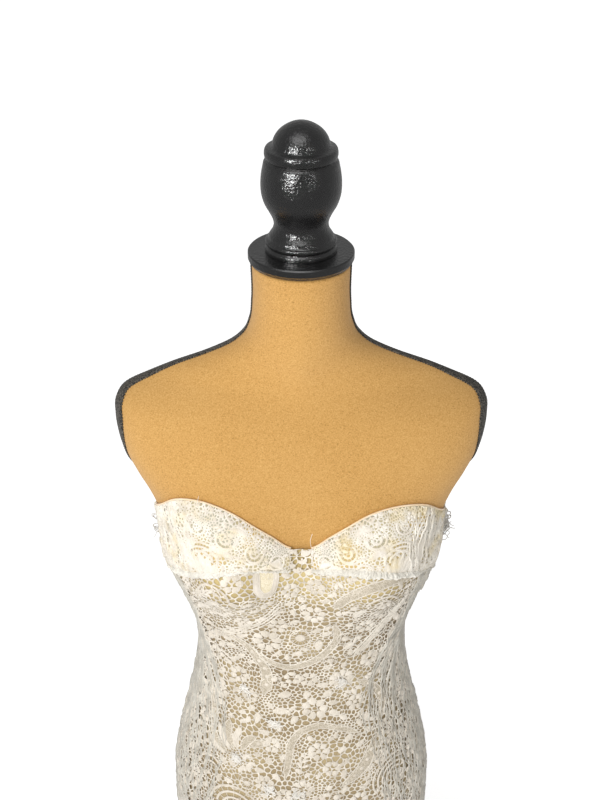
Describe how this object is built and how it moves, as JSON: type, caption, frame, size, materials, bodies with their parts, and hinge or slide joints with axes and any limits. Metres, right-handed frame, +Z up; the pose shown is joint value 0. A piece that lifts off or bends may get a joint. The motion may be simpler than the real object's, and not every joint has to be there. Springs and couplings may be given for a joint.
{
  "type": "lace mini dress on a dress form",
  "caption": "Strapless fitted lace mini dress with soft cups, worn by a limbless padded dress form with a turned finial, on a pole and a round foot.",
  "frame": {"origin": "centre of the foot's underside, on the floor", "axes": "+Z up along the pole, front of the dress faces -Y, +X is the form's left"},
  "size_m": [0.3898, 0.38, 1.3223],
  "materials": {
    "lace": "ivory cotton corded lace, matt",
    "cup_lace": "ivory lace over a moulded cup, matt",
    "lining": "nude knit lining, matt",
    "binding": "peach nude binding, soft sheen",
    "trim": "white underwire casing, matt",
    "jersey": "tan brushed jersey over foam, matt",
    "braid": "black woven herringbone braid, matt",
    "black_wood": "black painted turned wood, satin",
    "steel": "black powder-coated steel, satin"
  },
  "bodies": {
    "root": {"form_torso": "jersey", "neck_collar": "black_wood", "finial": "black_wood", "foot": "black_wood", "pole_socket": "black_wood", "pole": "steel", "form_flange": "black_wood", "tape_left": "braid", "tape_right": "braid", "lining_front": "lining", "lining_back": "lining", "lace_front": "lace", "lace_back": "lace", "gore": "cup_lace", "cup_left": "cup_lace", "cup_right": "cup_lace", "wing_left": "cup_lace", "wing_right": "cup_lace", "cup_band_left": "trim", "cup_band_right": "trim", "cup_edge_left": "binding", "cup_edge_right": "binding", "back_edge": "binding", "fringe_left": "lace", "fringe_right": "lace"}
  },
  "joints": []
}
